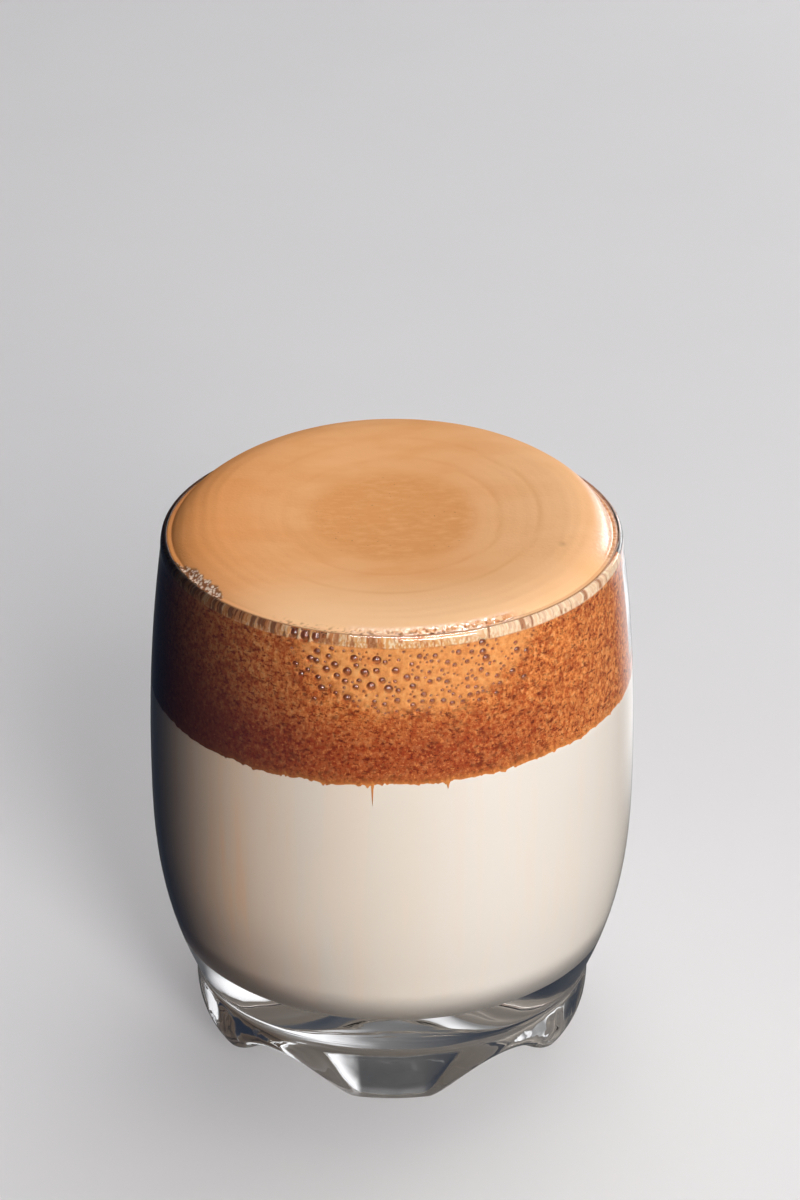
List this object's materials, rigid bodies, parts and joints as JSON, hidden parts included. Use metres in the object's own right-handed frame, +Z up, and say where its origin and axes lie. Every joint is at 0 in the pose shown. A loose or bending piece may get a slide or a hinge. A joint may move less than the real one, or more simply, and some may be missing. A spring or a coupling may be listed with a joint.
{
  "type": "layered milk coffee in a footed glass tumbler",
  "caption": "Cream milk under frothed coffee, heaped a little over the rim of a barrel-shaped clear tumbler with a thick sculpted foot.",
  "frame": {"origin": "middle of the glass on the surface that it stands on", "axes": "+Z up along the glass's axis, the front with one foot faces -Y, +X is to the right"},
  "size_m": [0.082, 0.082, 0.0986],
  "materials": {
    "clear_glass": "polished clear pressed glass",
    "milk": "opaque cream milk, wet against the glass",
    "coffee_foam": "fine moist coffee froth, tan on top and darker red-brown at the side"
  },
  "bodies": {
    "root": {"tumbler": "clear_glass", "milk": "milk", "coffee_foam": "coffee_foam"}
  },
  "joints": []
}
